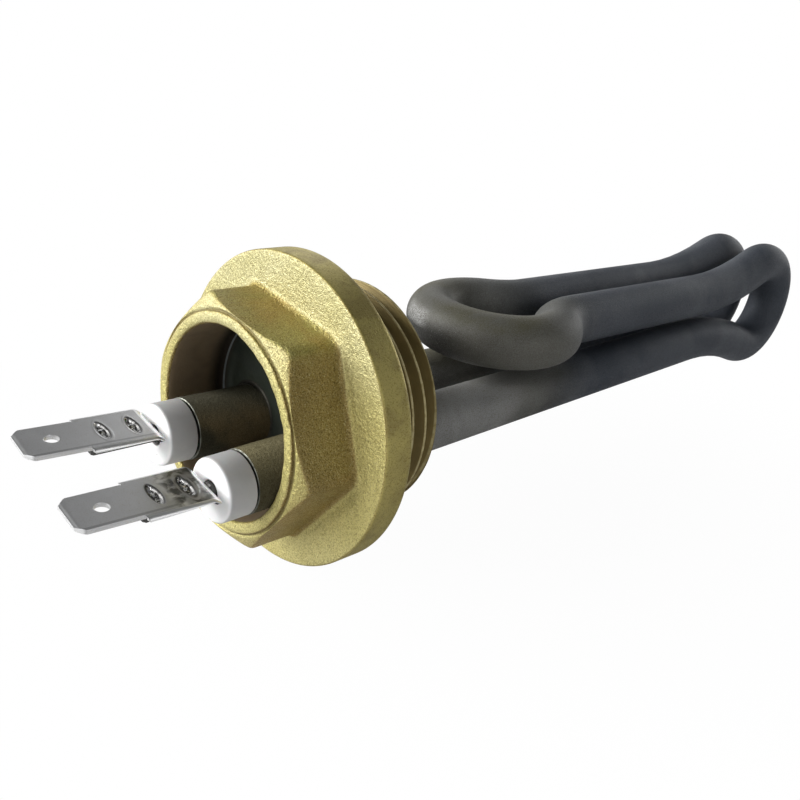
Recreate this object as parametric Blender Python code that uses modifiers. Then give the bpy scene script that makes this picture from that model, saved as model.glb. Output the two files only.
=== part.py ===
"""Screw plug immersion heater: a brass hexagon plug with a tubular element that is folded twice and carries
two weld-on tab terminals. Metres, +Z up. +X runs along the thread's axis from the terminals into the tank,
and the origin is the centre of the flange's sealing face."""

import math

import bmesh
import bpy
from mathutils import Matrix, Vector

MM = 0.001
GAP = 0.3 * MM
NEARLY = 0.0001 * MM

# Plug, turned and forged about the X axis
FLANGE_DIAMETER = 43.2 * MM
FLANGE_THICKNESS = 4.6 * MM
FLANGE_EDGE = 0.45 * MM
HEX_ACROSS_FLATS = 30.0 * MM
HEX_CORNER_RADIUS = 1.3 * MM
HEX_TURN = math.radians(8.8)
HEX_CHAMFER_ANGLE = math.radians(30.0)
HEX_FILLET = 0.9 * MM
MOUTH_HEIGHT = 13.4 * MM
LIP_HEIGHT = 0.4 * MM
LIP_WIDTH = 1.65 * MM
LIP_GROOVE = 0.3 * MM
CUP_WALL = 2.05 * MM
CUP_BORE = HEX_ACROSS_FLATS - 2 * CUP_WALL
CUP_EDGE = 0.4 * MM
CUP_FLOOR_FILLET = 1.8 * MM
WEB_DRY_FACE = -3.3 * MM
WEB_WET_FACE = 0.5 * MM
THREAD_MAJOR = 33.25 * MM
THREAD_LENGTH = 9.9 * MM
THREAD_END_CHAMFER = 0.55 * MM
THREAD_RELIEF = 2.1 * MM
RELIEF_DEPTH = 1.55 * MM
NECK_WALL = 1.925 * MM
RECESS_BORE = THREAD_MAJOR - 2 * (RELIEF_DEPTH + NECK_WALL)
RECESS_EDGE = 0.4 * MM
RECESS_FILLET = 1.4 * MM

# Tubular element: its two terminal ends stand at the front (-Y) and at the rear (+Y)
SIDES = {"front": -1, "rear": 1}
SHEATH_DIAMETER = 8.5 * MM
SHEATH_WALL = 0.7 * MM
SHEATH_PROUD = {"front": 1.6 * MM, "rear": 1.0 * MM}
TERMINAL_DROP = 3.8 * MM
TERMINAL_ROLL = math.radians(5.5)
ELEMENT_OFF_CENTRE = -0.3 * MM
LEG_TO_BORE = 0.78 * MM
LEG_DROP = {"front": 3.1 * MM, "rear": 3.5 * MM}
LEG_GAP = 1.9 * MM
RETURN_GAP = 1.25 * MM
NEAR_BEND_LIFT = 0.45 * MM
FAR_BEND_CENTRE = 126.8 * MM
FAR_BEND_BACK = {"front": 0.0, "rear": 0.8 * MM}
FAR_BEND_RADIUS = 9.55 * MM
FAR_BEND_EASE = 76.0 * MM
NEAR_BEND_CENTRE = 39.4 * MM
NEAR_BEND_RADIUS = 10.3 * MM
NEAR_BEND_EASE = 13.0 * MM
BEND_STEP = math.radians(15.0)
SHEATH_END = {key: -MOUTH_HEIGHT - proud for key, proud in SHEATH_PROUD.items()}
LEG_REACH = min(CUP_BORE, RECESS_BORE) / 2 - SHEATH_DIAMETER / 2 - LEG_TO_BORE
TERMINAL_SPACING = 2 * math.sqrt(LEG_REACH**2 - TERMINAL_DROP**2)
LEG_SPACING = SHEATH_DIAMETER + LEG_GAP
RETURN_RISE = SHEATH_DIAMETER + RETURN_GAP - LEG_DROP["front"]

# Inside the sheath
CORE_CLEARANCE = 0.28 * MM
COIL_TO_CORE = 0.67 * MM
COLD_LENGTH = 40.0 * MM
COIL_RADIUS = 1.4 * MM
COIL_WIRE = 0.5 * MM
COIL_TURNS = 60
COIL_POINTS = 5
PIN_DIAMETER = 2.5 * MM
PIN_BEYOND_SHOULDER = 0.6 * MM
PIN_FLAT = {"front": 0.65 * MM, "rear": 1.1 * MM}
PIN_STEP = 1.0 * MM
SEAL_LENGTH = 4.0 * MM

# Ceramic beads
BEAD_INSET = 0.1 * MM
BEAD_LENGTH = 4.0 * MM
BEAD_EDGE = 0.6 * MM
SPIGOT_LENGTH = 2.5 * MM
SPIGOT_EDGE = 0.2 * MM
BEAD_FACE = -GAP - BEAD_LENGTH

# Tab terminals
TAB_WIDTH = 6.3 * MM
TAB_THICKNESS = 0.8 * MM
TAB_BLADE = 7.6 * MM
TAB_LENGTH = 16.6 * MM
TAB_TIP_CHAMFER = 1.0 * MM
TAB_FOLD_INSIDE = 0.1 * MM
TAB_WING = 0.25 * MM
TAB_HOLE = 1.8 * MM
TAB_HOLE_PLACE = 4.0 * MM
TAB_DENTS = (10.2 * MM, 14.15 * MM)
DENT_LENGTH = 3.4 * MM
DENT_WIDTH = 1.3 * MM
DENT_DEPTH = 0.4 * MM
TAB_TO_BEAD = {"front": 1.0 * MM, "rear": 0.7 * MM}
TAB_ROLL = {"front": math.radians(5.9), "rear": math.radians(5.6)}
TAB_YAW = {"front": math.radians(-4.3), "rear": math.radians(-3.4)}

# Facets
TURN_STEPS = 56
BEAD_STEPS = 28
BEAD_EDGE_STEPS = 2
HOLE_STEPS = 36
SMALL_STEPS = 20
PIN_STEPS = 12
DRILL_STEPS = 16
FILLET_STEPS = 5
CORNER_STEPS = 4
FOLD_STEPS = 3
DENT_STEPS = 12
SHEATH_BEVEL = 5
CORE_BEVEL = 2
CUT_OVERRUN = 1.0 * MM


def cleared_scene():
    for thing in list(bpy.data.objects):
        bpy.data.objects.remove(thing, do_unlink=True)


def new_collection(name):
    made = bpy.data.collections.new(name)
    bpy.context.scene.collection.children.link(made)
    return made


cleared_scene()
PARTS = new_collection("screw_plug_heater")
CUTTERS = new_collection("cutters")


def material(name, colour, roughness, metallic):
    made = bpy.data.materials.new(name)
    made.use_nodes = True
    shader = made.node_tree.nodes["Principled BSDF"]
    shader.inputs["Base Color"].default_value = (*colour, 1.0)
    shader.inputs["Roughness"].default_value = roughness
    shader.inputs["Metallic"].default_value = metallic
    return made


def placed(name, mesh, finish=None):
    made = bpy.data.objects.new(name, mesh)
    if finish:
        mesh.materials.append(finish)
        PARTS.objects.link(made)
    else:
        made.hide_render = True
        made.display_type = "WIRE"
        CUTTERS.objects.link(made)
    return made


def mesh_of(work, name, smooth_angle=math.radians(30.0)):
    mesh = bpy.data.meshes.new(name)
    work.to_mesh(mesh)
    work.free()
    mesh.shade_smooth()
    mesh.set_sharp_from_angle(angle=smooth_angle)
    return mesh


def boolean(thing, other, operation):
    step = thing.modifiers.new(other.name, "BOOLEAN")
    step.operation = operation
    step.object = other


def turned(name, profile, finish=None, steps=TURN_STEPS, closed=True):
    """A body turned about X. The profile lists (x, radius), with the outer side running towards -X."""
    work = bmesh.new()
    points = [work.verts.new((radius, 0.0, x)) for x, radius in profile]
    for a, b in zip(points, points[1:]):
        work.edges.new((a, b))
    if closed:
        work.edges.new((points[-1], points[0]))
    made = placed(name, mesh_of(work, name), finish)
    made.rotation_euler = (0.0, math.pi / 2, 0.0)
    spin = made.modifiers.new("turn", "SCREW")
    spin.axis = "Z"
    spin.angle = 2 * math.pi
    spin.steps = steps
    spin.render_steps = steps
    spin.use_merge_vertices = True
    spin.merge_threshold = 0.00001
    return made


def arc(centre, radius, start, end, count):
    """Points (x, r) on an arc, its angles measured from +X towards +r."""
    turn = (end - start) / count
    return [
        (centre[0] + radius * math.cos(start + turn * k), centre[1] + radius * math.sin(start + turn * k))
        for k in range(count + 1)
    ]


def hex_outline(offset):
    """A rounded hexagon in the YZ plane, moved outwards by offset."""
    flat = HEX_ACROSS_FLATS / 2 + offset
    rounding = HEX_CORNER_RADIUS + offset
    reach = (flat - rounding) / math.cos(math.pi / 6)
    points = []
    for corner in range(6):
        middle = HEX_TURN + corner * math.pi / 3
        for share in (-1.0, -0.33, 0.33, 1.0):
            angle = middle + share * math.pi / 6
            y = reach * math.cos(middle) + rounding * math.cos(angle)
            z = reach * math.sin(middle) + rounding * math.sin(angle)
            points.append((y, z))
    return points


def hex_block():
    """The hexagon, lofted through outlines that flare into the fillet at the flange."""
    face = -FLANGE_THICKNESS
    sections = [(face + 0.5 * FLANGE_THICKNESS, HEX_FILLET)]
    for k in range(1, FILLET_STEPS + 1):
        angle = k * math.pi / 2 / FILLET_STEPS
        x = face - HEX_FILLET + HEX_FILLET * math.cos(angle)
        sections.append((x, HEX_FILLET * (1 - math.sin(angle))))
    sections.append((-MOUTH_HEIGHT - CUT_OVERRUN, 0.0))
    work = bmesh.new()
    rings = [
        [work.verts.new((x, y, z)) for y, z in hex_outline(offset)]
        for x, offset in sections
    ]
    work.faces.new(rings[0])
    for ring, following in zip(rings, rings[1:]):
        edges = []
        for loop in (ring, following):
            for k, vertex in enumerate(loop):
                after = loop[(k + 1) % len(loop)]
                edges.append(work.edges.get((vertex, after)) or work.edges.new((vertex, after)))
        bmesh.ops.bridge_loops(work, edges=edges)
    work.faces.new(rings[-1])
    bmesh.ops.recalc_face_normals(work, faces=work.faces)
    return mesh_of(work, "plug_body")


def mouth_envelope():
    """Turned outside of the hexagon's free end: chamfer, groove and raised lip."""
    bore = CUP_BORE / 2
    lip = bore + LIP_WIDTH
    shoulder = -MOUTH_HEIGHT + LIP_HEIGHT
    groove = lip + LIP_GROOVE
    outside = FLANGE_DIAMETER / 2
    slope = math.tan(HEX_CHAMFER_ANGLE)
    within_flange = -FLANGE_THICKNESS / 4
    profile = [
        (within_flange, 0.0),
        (within_flange, outside),
        (shoulder + (outside - groove) * slope, outside),
        (shoulder, groove),
        (shoulder + LIP_GROOVE, groove - LIP_GROOVE / 2),
        (shoulder, lip),
        (-MOUTH_HEIGHT + LIP_HEIGHT / 3, lip),
        (-MOUTH_HEIGHT, lip - LIP_HEIGHT / 2),
        (-MOUTH_HEIGHT, 0.0),
    ]
    return turned("mouth_envelope", profile, closed=False)


def flange_and_thread():
    """Flange, thread relief and the threaded neck at its outside diameter."""
    rim = FLANGE_DIAMETER / 2
    major = THREAD_MAJOR / 2
    neck = major - RELIEF_DEPTH
    profile = [
        (THREAD_LENGTH, 0.0),
        (THREAD_LENGTH, major - THREAD_END_CHAMFER),
        (THREAD_LENGTH - THREAD_END_CHAMFER, major),
        (THREAD_RELIEF + RELIEF_DEPTH, major),
        (THREAD_RELIEF, neck),
        (0.0, neck),
        (0.0, rim - FLANGE_EDGE),
        (-FLANGE_EDGE, rim),
        (-FLANGE_THICKNESS + 2 * FLANGE_EDGE, rim),
        (-FLANGE_THICKNESS + FLANGE_EDGE / 2, rim - FLANGE_EDGE / 2),
        (-FLANGE_THICKNESS, rim - 2 * FLANGE_EDGE),
        (-FLANGE_THICKNESS, 0.0),
    ]
    return turned("flange_and_thread", profile, closed=False)


def cup_cutter():
    bore = CUP_BORE / 2
    centre = (WEB_DRY_FACE - CUP_FLOOR_FILLET, bore - CUP_FLOOR_FILLET)
    corner = arc(centre, CUP_FLOOR_FILLET, 0.0, math.pi / 2, CORNER_STEPS)
    beyond = -MOUTH_HEIGHT - CUT_OVERRUN
    profile = [(WEB_DRY_FACE, 0.0)] + corner + [
        (-MOUTH_HEIGHT + CUP_EDGE, bore),
        (beyond, bore + CUP_EDGE + CUT_OVERRUN),
        (beyond, 0.0),
    ]
    return turned("cup_cutter", profile, closed=False)


def recess_cutter():
    bore = RECESS_BORE / 2
    centre = (WEB_WET_FACE + RECESS_FILLET, bore - RECESS_FILLET)
    corner = arc(centre, RECESS_FILLET, math.pi / 2, math.pi, CORNER_STEPS)
    beyond = THREAD_LENGTH + CUT_OVERRUN
    profile = [
        (beyond, 0.0),
        (beyond, bore + RECESS_EDGE + CUT_OVERRUN),
        (THREAD_LENGTH - RECESS_EDGE, bore),
    ] + corner + [(WEB_WET_FACE, 0.0)]
    return turned("recess_cutter", profile, closed=False)


def keyhole(centre, spread, radius, ease):
    """A bend wider than its legs: ease curve out, more than half a turn, ease curve back in.
    It comes in along +u at v = -spread and leaves along -u at v = +spread."""
    lean = math.acos((spread + ease) / (radius + ease))
    start = centre - (radius + ease) * math.sin(lean)
    count = max(3, round(lean / BEND_STEP))
    steps = [lean * k / count for k in range(count + 1)]
    into = [(start + ease * math.sin(a), -spread - ease + ease * math.cos(a)) for a in steps]
    whole = math.pi + 2 * lean
    turns = 2 * max(2, round(whole / BEND_STEP / 2))
    around = [-math.pi / 2 - lean + whole * k / turns for k in range(1, turns)]
    bend = [(centre + radius * math.cos(a), radius * math.sin(a)) for a in around]
    back = [(u, -v) for u, v in reversed(into)]
    return into + bend + back


def leg_route(key):
    """Axis of one side, from the sheath's end along the lower leg and round the far bend."""
    apart = SIDES[key] * TERMINAL_SPACING / 2
    y = ELEMENT_OFF_CENTRE + apart * math.cos(TERMINAL_ROLL)
    z = -TERMINAL_DROP + apart * math.sin(TERMINAL_ROLL)
    middle = (RETURN_RISE - LEG_DROP[key]) / 2
    centre = FAR_BEND_CENTRE - FAR_BEND_BACK[key]
    bend = keyhole(centre, RETURN_RISE - middle, FAR_BEND_RADIUS, FAR_BEND_EASE)
    side = ELEMENT_OFF_CENTRE + SIDES[key] * LEG_SPACING / 2
    return [Vector((SHEATH_END[key], y, z))] + [Vector((u, side, middle + v)) for u, v in bend]


def element_route():
    """Axis of the whole element, from the front terminal end to the rear one."""
    near = keyhole(-NEAR_BEND_CENTRE, LEG_SPACING / 2, NEAR_BEND_RADIUS, NEAR_BEND_EASE)
    link = [Vector((-u, ELEMENT_OFF_CENTRE + v, RETURN_RISE + NEAR_BEND_LIFT)) for u, v in near]
    return leg_route("front") + link + leg_route("rear")[::-1]


def along(route, distance):
    """The route from that distance on, with a new first point."""
    for k, (a, b) in enumerate(zip(route, route[1:])):
        step = (b - a).length
        if distance < step:
            return [a.lerp(b, distance / step)] + route[k + 1:]
        distance -= step
    return route[-1:]


def shortened(route, distance):
    once = along(route, distance)
    return along(once[::-1], distance)[::-1]


def tube_curve(name, points, radius, bevel, finish=None, wall=0.0, caps=True):
    data = bpy.data.curves.new(name, "CURVE")
    data.dimensions = "3D"
    data.bevel_depth = radius
    data.bevel_resolution = bevel
    data.use_fill_caps = caps
    line = data.splines.new("POLY")
    line.points.add(len(points) - 1)
    for point, place in zip(line.points, points):
        point.co = (*place, 1.0)
    made = placed(name, data, finish)
    if wall:
        shell = made.modifiers.new("wall", "SOLIDIFY")
        shell.thickness = wall
        shell.offset = -1.0
        shell.use_even_offset = True
    return made


def sheath_bore():
    """Smallest clear radius inside the faceted sheath."""
    sides = 2 * SHEATH_BEVEL + 4
    return SHEATH_DIAMETER / 2 * math.cos(math.pi / sides) - SHEATH_WALL


def coil_route(route):
    """A helix that follows the element's axis, with a frame carried along it."""
    lengths = [0.0]
    for a, b in zip(route, route[1:]):
        lengths.append(lengths[-1] + (b - a).length)
    total = lengths[-1]
    count = COIL_TURNS * COIL_POINTS
    side = Vector((0.0, 0.0, 1.0))
    points = []
    segment = 0
    for k in range(count + 1):
        distance = total * k / count
        while segment < len(lengths) - 2 and lengths[segment + 1] < distance:
            segment += 1
        a, b = route[segment], route[segment + 1]
        share = (distance - lengths[segment]) / (lengths[segment + 1] - lengths[segment])
        ahead = (b - a).normalized()
        side = (side - ahead * side.dot(ahead)).normalized()
        other = ahead.cross(side)
        angle = 2 * math.pi * k / COIL_POINTS
        points.append(a.lerp(b, share) + COIL_RADIUS * (math.cos(angle) * side + math.sin(angle) * other))
    return points


def leg_frame(key):
    """Matrix whose X runs along a leg towards the far bend, from the sheath's end."""
    start, end = leg_route(key)[:2]
    ahead = (end - start).normalized()
    turn = Vector((1.0, 0.0, 0.0)).rotation_difference(ahead).to_matrix().to_4x4()
    return Matrix.Translation(start) @ turn


def seated(thing, key, distance=0.0):
    """Turns a thing's Z along the leg, that far from the sheath's end."""
    turn = Matrix.Rotation(math.pi / 2, 4, "Y")
    thing.matrix_world = leg_frame(key) @ turn @ Matrix.Translation((0.0, 0.0, distance))


def cylinder(name, radius, depth, segments):
    work = bmesh.new()
    bmesh.ops.create_cone(work, cap_ends=True, segments=segments, radius1=radius, radius2=radius, depth=depth)
    return placed(name, mesh_of(work, name))


def tube_hole(key):
    """Hole for a leg through the web, cut from the cup to the recess."""
    radius = SHEATH_DIAMETER / 2 + GAP
    made = cylinder("tube_hole_" + key, radius, THREAD_LENGTH + MOUTH_HEIGHT, HOLE_STEPS)
    seated(made, key, (THREAD_LENGTH - MOUTH_HEIGHT) / 2 - SHEATH_END[key])
    return made


def bead(key, finish):
    """Insulating bead with a spigot inside the sheath's end, x measured from that end."""
    outer = SHEATH_DIAMETER / 2 - BEAD_INSET
    hole = PIN_DIAMETER / 2 + GAP
    spigot = sheath_bore() - GAP
    rounding = arc((BEAD_FACE + BEAD_EDGE, outer - BEAD_EDGE), BEAD_EDGE, math.pi / 2, math.pi, BEAD_EDGE_STEPS)
    profile = [
        (SPIGOT_LENGTH, hole),
        (SPIGOT_LENGTH, spigot - SPIGOT_EDGE),
        (SPIGOT_LENGTH - SPIGOT_EDGE, spigot),
        (-GAP, spigot),
        (-GAP, outer - SPIGOT_EDGE),
        (-GAP - SPIGOT_EDGE, outer),
    ] + rounding + [(BEAD_FACE, hole)]
    made = turned("ceramic_bead_" + key, profile, finish, steps=BEAD_STEPS)
    seated(made, key)
    return made


def seal(key, finish):
    """Resin seal between the bead's spigot and the mineral core."""
    hole = PIN_DIAMETER / 2 + GAP
    outer = sheath_bore() - GAP
    start = SPIGOT_LENGTH + GAP
    profile = [(start + SEAL_LENGTH, hole), (start + SEAL_LENGTH, outer), (start, outer), (start, hole)]
    made = turned("end_seal_" + key, profile, finish, steps=SMALL_STEPS)
    seated(made, key)
    return made


def pulled(work, edges):
    """Extrudes a line of edges. Returns the new line and its vertices, still in the old place."""
    made = bmesh.ops.extrude_edge_only(work, edges=edges)["geom"]
    moved = [item for item in made if isinstance(item, bmesh.types.BMVert)]
    line = [item for item in made if isinstance(item, bmesh.types.BMEdge) and set(item.verts) <= set(moved)]
    return line, moved


def pin(key, finish):
    """Cold pin: round inside the element, pressed flat where the tab is welded on it."""
    tab_end = BEAD_FACE - TAB_TO_BEAD[key]
    start = tab_end - TAB_LENGTH + TAB_BLADE + PIN_BEYOND_SHOULDER
    work = bmesh.new()
    bmesh.ops.create_circle(work, cap_ends=True, segments=PIN_STEPS, radius=PIN_DIAMETER / 2)
    bmesh.ops.rotate(work, verts=work.verts, matrix=Matrix.Rotation(math.pi / 2, 3, "Y"))
    bmesh.ops.translate(work, verts=work.verts, vec=(start, 0.0, 0.0))
    rim = list(work.edges)
    for stop in (tab_end, tab_end + PIN_STEP, COLD_LENGTH):
        rim, moved = pulled(work, rim)
        for vertex in moved:
            vertex.co.x = stop
    bmesh.ops.contextual_create(work, geom=rim)
    for vertex in work.verts:
        if vertex.co.x < tab_end + PIN_STEP / 2:
            vertex.co.z = min(vertex.co.z, PIN_FLAT[key])
    bmesh.ops.recalc_face_normals(work, faces=work.faces)
    name = "cold_pin_" + key
    made = placed(name, mesh_of(work, name), finish)
    made.matrix_world = leg_frame(key) @ Matrix.Rotation(TAB_ROLL[key], 4, "X")
    return made


def tab_surface():
    """Middle surface of the folded terminal: a chamfered blade, and a base with both edges folded down.
    u runs from the tip towards the bead, w across, and the top face is up."""
    half = TAB_WIDTH / 2
    chamfer = TAB_TIP_CHAMFER
    radius = TAB_FOLD_INSIDE + TAB_THICKNESS / 2
    work = bmesh.new()
    right = [(0.0, half - chamfer), (chamfer, half), (TAB_BLADE, half), (TAB_LENGTH, half)]
    outline = right + [(u, -w) for u, w in reversed(right)]
    work.faces.new([work.verts.new((u, w, 0.0)) for u, w in outline])
    folds = [math.pi / 2 * k / FOLD_STEPS for k in range(1, FOLD_STEPS + 1)]
    lines = [(half + radius * math.sin(a), radius * (math.cos(a) - 1)) for a in folds]
    lines.append((half + radius, -radius - TAB_WING))
    for side in SIDES.values():
        edge = [v for v in work.verts if v.co.y * side > half - NEARLY and v.co.x > TAB_BLADE - NEARLY]
        strip = [e for e in work.edges if set(e.verts) <= set(edge)]
        for w, z in lines:
            strip, moved = pulled(work, strip)
            for vertex in moved:
                vertex.co.y = side * w
                vertex.co.z = z
    bmesh.ops.recalc_face_normals(work, faces=work.faces)
    if sum(face.normal.z * face.calc_area() for face in work.faces) < 0:
        bmesh.ops.reverse_faces(work, faces=work.faces)
    return work


def tab_matrix(key):
    """Place of a tab's tip: on top of the flattened pin, turned about the pin by its own small angles."""
    height = PIN_FLAT[key] + GAP + TAB_THICKNESS / 2
    tab_end = Matrix.Translation((BEAD_FACE - TAB_TO_BEAD[key], 0.0, 0.0))
    turn = Matrix.Rotation(TAB_ROLL[key], 4, "X") @ Matrix.Rotation(TAB_YAW[key], 4, "Z")
    return leg_frame(key) @ tab_end @ turn @ Matrix.Translation((-TAB_LENGTH, 0.0, height))


def tab(key, finish):
    name = "tab_terminal_" + key
    made = placed(name, mesh_of(tab_surface(), name), finish)
    made.matrix_world = tab_matrix(key)
    sheet = made.modifiers.new("sheet", "SOLIDIFY")
    sheet.thickness = TAB_THICKNESS
    sheet.offset = 0.0
    sheet.use_even_offset = True
    hole = cylinder(name + "_hole", TAB_HOLE / 2, 3 * TAB_THICKNESS, DRILL_STEPS)
    hole.matrix_world = made.matrix_world @ Matrix.Translation((TAB_HOLE_PLACE, 0.0, 0.0))
    boolean(made, hole, "DIFFERENCE")
    for number, place in enumerate(TAB_DENTS):
        dent = placed(f"{name}_dent_{number}", dent_mesh())
        dent.matrix_world = made.matrix_world @ Matrix.Translation((place, 0.0, TAB_THICKNESS / 2))
        boolean(made, dent, "DIFFERENCE")
    return made


def dent_mesh():
    """Oval pit left by a welding electrode."""
    work = bmesh.new()
    bmesh.ops.create_uvsphere(work, u_segments=DENT_STEPS, v_segments=DENT_STEPS // 2, radius=1.0)
    scale = (DENT_WIDTH / 2, DENT_LENGTH / 2, DENT_DEPTH)
    bmesh.ops.scale(work, vec=scale, verts=work.verts)
    return mesh_of(work, "dent")


def plug_body(finish):
    made = placed("plug_body", hex_block(), finish)
    boolean(made, mouth_envelope(), "INTERSECT")
    boolean(made, flange_and_thread(), "UNION")
    boolean(made, cup_cutter(), "DIFFERENCE")
    boolean(made, recess_cutter(), "DIFFERENCE")
    for key in SIDES:
        boolean(made, tube_hole(key), "DIFFERENCE")
    return made


def build():
    brass = material("forged_brass", (0.42, 0.34, 0.12), 0.42, 1.0)
    steel = material("dark_sheath", (0.05, 0.052, 0.055), 0.45, 0.6)
    mineral = material("magnesia", (0.78, 0.76, 0.72), 0.9, 0.0)
    wire = material("resistance_wire", (0.33, 0.31, 0.29), 0.4, 1.0)
    ceramic = material("steatite", (0.85, 0.85, 0.84), 0.55, 0.0)
    nickel = material("nickel_plate", (0.50, 0.49, 0.48), 0.32, 1.0)
    resin = material("sealing_resin", (0.30, 0.09, 0.05), 0.5, 0.0)
    route = element_route()
    plug_body(brass)
    tube_curve("heating_sheath", route, SHEATH_DIAMETER / 2, SHEATH_BEVEL, steel, SHEATH_WALL, caps=False)
    sealed = SPIGOT_LENGTH + SEAL_LENGTH + 2 * GAP
    core_radius = sheath_bore() - CORE_CLEARANCE
    core_wall = core_radius - COIL_RADIUS - COIL_WIRE / 2 - COIL_TO_CORE
    core_line = shortened(route, sealed)
    tube_curve("magnesia_core", core_line, core_radius, CORE_BEVEL, mineral, core_wall, caps=False)
    hot = coil_route(shortened(route, COLD_LENGTH + GAP + COIL_WIRE / 2))
    tube_curve("resistance_coil", hot, COIL_WIRE / 2, 0, wire)
    for key in SIDES:
        pin(key, nickel)
        seal(key, resin)
        bead(key, ceramic)
        tab(key, nickel)


build()
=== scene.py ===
"""Looks of the screw plug immersion heater: a sand-textured brass plug with a cut thread, a dark tubular
element folded twice, white beads and nickel-plated tabs. Metres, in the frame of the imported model."""
import math

import bmesh
import bpy
from mathutils import Matrix, Vector

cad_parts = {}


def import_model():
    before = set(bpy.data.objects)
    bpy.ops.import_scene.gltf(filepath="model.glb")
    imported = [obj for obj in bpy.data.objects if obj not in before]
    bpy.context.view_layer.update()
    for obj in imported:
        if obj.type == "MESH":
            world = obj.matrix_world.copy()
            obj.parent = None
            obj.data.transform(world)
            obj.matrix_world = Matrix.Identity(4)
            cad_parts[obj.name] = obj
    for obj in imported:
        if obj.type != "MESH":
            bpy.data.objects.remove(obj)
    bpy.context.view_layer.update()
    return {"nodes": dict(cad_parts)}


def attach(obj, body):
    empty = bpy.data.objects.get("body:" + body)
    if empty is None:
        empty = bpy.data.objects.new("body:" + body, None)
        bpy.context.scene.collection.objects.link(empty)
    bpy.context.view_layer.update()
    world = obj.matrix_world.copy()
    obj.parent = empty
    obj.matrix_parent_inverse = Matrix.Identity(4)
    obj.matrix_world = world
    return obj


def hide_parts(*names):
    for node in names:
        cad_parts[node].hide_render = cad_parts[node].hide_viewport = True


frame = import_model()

MM = 0.001
FULL_TURN = 2 * math.pi
RIGHT_ANGLE = math.pi / 2
NEARLY = 0.001 * MM

# Plug: the same driving sizes as the model's
FLANGE_RADIUS = 21.6 * MM
FLANGE_THICKNESS = 4.6 * MM
HEX_FLAT = 15.0 * MM
HEX_CORNER_RADIUS = 1.4 * MM
HEX_TURN = math.radians(8.8)
CHAMFER_SLOPE = math.tan(math.radians(30.0))
HEX_FILLET = 1.0 * MM
MOUTH = -13.4 * MM
LIP_HEIGHT = 0.4 * MM
LIP_OUTSIDE = 14.5 * MM
LIP_WOBBLE = 0.14 * MM
LIP_WAVES = ((1.0, 5, 0.6), (0.8, 11, 2.0), (0.7, 23, 0.0), (0.5, 41, 0.0))
GROOVE_OUTSIDE = 14.95 * MM
GROOVE_DEPTH = 0.32 * MM
CUP_RADIUS = 12.95 * MM
CUP_FLOOR_FILLET = 1.8 * MM
WEB_DRY_FACE = -3.3 * MM
WEB_WET_FACE = 0.5 * MM
THREAD_RADIUS = 16.625 * MM
THREAD_PITCH = 2.309 * MM
THREAD_DEPTH = 1.48 * MM
THREAD_END = 9.9 * MM
THREAD_END_CHAMFER = 0.45 * MM
THREAD_CREST_PLACE = 7.28 * MM
THREAD_CREST_ANGLE = math.radians(149.5)
THREAD_RUNOUT = 1.2 * MM
RELIEF_RADIUS = 15.07 * MM
RELIEF_LENGTH = 1.9 * MM
RELIEF_CHAMFER = 0.6 * MM
RECESS_RADIUS = 13.15 * MM
RECESS_FILLET = 1.4 * MM
RECESS_EDGE = 0.3 * MM
RIM_EDGE = 0.35 * MM
PLUG_STEPS = 320
THREAD_POINTS = 140
FORGED_SMOOTHINGS = 9

# Tubular element
SIDES = {"front": -1, "rear": 1}
TUBE_RADIUS = 4.25 * MM
TUBE_WALL = 0.7 * MM
TUBE_END = {"front": -15.0 * MM, "rear": -14.4 * MM}
TERMINAL_HALF_SPACING = 6.949 * MM
TERMINAL_DROP = 3.8 * MM
TERMINAL_ROLL = math.radians(5.5)
ELEMENT_OFF_CENTRE = -0.3 * MM
LEG_HALF_SPACING = 5.2 * MM
LEG_HEIGHT = {"front": -3.1 * MM, "rear": -3.5 * MM}
RETURN_HEIGHT = 6.65 * MM
NEAR_BEND_HEIGHT = 7.1 * MM
FAR_BEND_CENTRE = {"front": 126.69 * MM, "rear": 125.89 * MM}
FAR_BEND_RADIUS = 9.55 * MM
FAR_BEND_EASE = 76.0 * MM
NEAR_BEND_CENTRE = 39.4 * MM
NEAR_BEND_RADIUS = 10.3 * MM
NEAR_BEND_EASE = 13.0 * MM
TUBE_SEGMENTS = 48
BEND_STEP = math.radians(4.0)

BRAZE_REACH = {"dry": 0.5 * MM, "wet": 1.1 * MM}
BRAZE_LAP = {"web": 0.4 * MM, "tube": 0.1 * MM}

# Beads, pins and tabs
BEAD_RADIUS = 4.15 * MM
BEAD_LENGTH = 4.0 * MM
BEAD_EDGE = 0.5 * MM
BEAD_BACK_EDGE = 0.15 * MM
SPIGOT_RADIUS = 3.1 * MM
SPIGOT_LENGTH = 2.5 * MM
SPIGOT_EDGE = 0.2 * MM
BEAD_BORE_CLEARANCE = 0.12 * MM
BEAD_BORE_EDGE = 0.15 * MM
GAP = 0.3 * MM
PIN_RADIUS = 1.25 * MM
PIN_FLAT = {"front": 0.65 * MM, "rear": 1.1 * MM}
PIN_PRESSED = {"front": 0.5 * MM, "rear": 1.1 * MM}
PIN_LENGTH = 40.0 * MM
PIN_NOSE = 0.25 * MM
PIN_TAPER = 0.8 * MM
PIN_BEYOND_SHOULDER = 0.6 * MM
TAB_HALF_WIDTH = 3.15 * MM
TAB_THICKNESS = 0.8 * MM
TAB_SHEET = 0.62 * MM
TAB_BLADE = 7.6 * MM
TAB_LENGTH = 16.6 * MM
TAB_TIP_CHAMFER = 1.0 * MM
TAB_FLAT = 3.39 * MM
TAB_FOLD_RADIUS = 0.3 * MM
TAB_REAR_SLOPE = 0.8 * MM
TAB_REAR_DROP = 0.45 * MM
TAB_EDGE = 0.07 * MM
TAB_TIP_THICKNESS = 0.65
TAB_STEPS_ACROSS = 92
TAB_HOLE_RADIUS = 0.9 * MM
TAB_HOLE_PLACE = 4.0 * MM
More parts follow.
